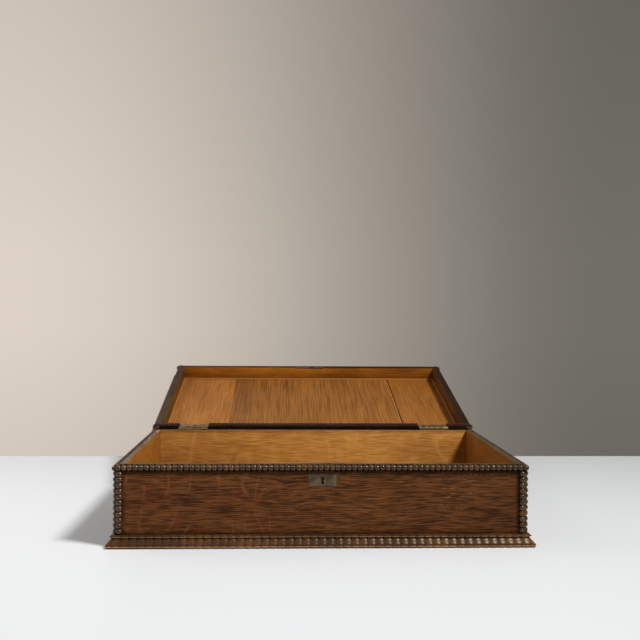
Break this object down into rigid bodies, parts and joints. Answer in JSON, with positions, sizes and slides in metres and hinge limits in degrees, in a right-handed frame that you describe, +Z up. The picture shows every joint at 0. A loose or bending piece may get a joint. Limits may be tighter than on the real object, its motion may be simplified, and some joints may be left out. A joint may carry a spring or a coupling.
{
  "type": "wooden box",
  "caption": "Low oak table box with its lid laid open on two butt hinges, a hook lock, bead strips round its edges and ripple mouldings at its foot and lid top.",
  "frame": {"origin": "centre of the underside of the box, on the table", "axes": "+X to the right seen from the front, +Y to the back where the hinges are, +Z up"},
  "size_m": [0.6242, 0.7824, 0.213],
  "materials": {
    "dark_oak": "satin, darkened quarter-sawn oak",
    "plain_oak": "satin, honey-coloured oak inside and dark outside",
    "black_oak": "satin, nearly black stained oak",
    "old_brass": "aged",
    "old_steel": "darkened"
  },
  "bodies": {
    "box": {"front_board": "dark_oak", "back_board": "plain_oak", "left_board": "dark_oak", "right_board": "dark_oak", "bottom_board": "plain_oak", "rim_beads_front": "black_oak", "rim_beads_right": "black_oak", "rim_beads_back": "black_oak", "rim_beads_left": "black_oak", "corner_beads_front_left": "black_oak", "corner_beads_front_right": "black_oak", "corner_beads_right_front": "black_oak", "corner_beads_right_back": "black_oak", "corner_beads_back_right": "black_oak", "corner_beads_back_left": "black_oak", "corner_beads_left_back": "black_oak", "corner_beads_left_front": "black_oak", "base_ripple_front": "black_oak", "base_ripple_right": "black_oak", "base_ripple_back": "black_oak", "base_ripple_left": "black_oak", "keyhole_plate": "old_brass", "keyhole_plate_pins": "old_brass", "lock_case": "old_steel", "lock_cap": "old_steel", "lock_pivot": "old_steel", "lock_screws": "old_steel", "left_hinge_box_leaf": "old_brass", "left_hinge_pin": "old_brass", "right_hinge_box_leaf": "old_brass", "right_hinge_pin": "old_brass", "hinge_screws_box": "old_brass"},
    "lid": {"lid_front_rail": "dark_oak", "lid_back_rail": "dark_oak", "lid_left_rail": "dark_oak", "lid_right_rail": "dark_oak", "lid_top_left_board": "plain_oak", "lid_top_middle_board": "plain_oak", "lid_top_right_board": "plain_oak", "lid_beads_front_left": "black_oak", "lid_beads_front_right": "black_oak", "lid_beads_right_front": "black_oak", "lid_beads_right_back": "black_oak", "lid_beads_back_right": "black_oak", "lid_beads_back_left": "black_oak", "lid_beads_left_back": "black_oak", "lid_beads_left_front": "black_oak", "lid_ripple_front": "black_oak", "lid_ripple_right": "black_oak", "lid_ripple_back": "black_oak", "lid_ripple_left": "black_oak", "catch_plate": "old_steel", "catch_plate_screws": "old_steel", "left_hinge_lid_leaf": "old_brass", "right_hinge_lid_leaf": "old_brass", "hinge_screws_lid": "old_brass"},
    "lock_hook": {"lock_hook": "old_steel"}
  },
  "joints": [
    {"name": "lid_hinge", "type": "hinge", "parent": "box", "child": "lid", "pos_m": [0, 0.193, 0.12], "axis": [1, 0, 0], "range_deg": [0, 166.23]},
    {"name": "hook_turn", "type": "hinge", "parent": "box", "child": "lock_hook", "pos_m": [0, -0.17625, 0.111], "axis": [0, -1, 0], "range_deg": [0, 70]}
  ]
}
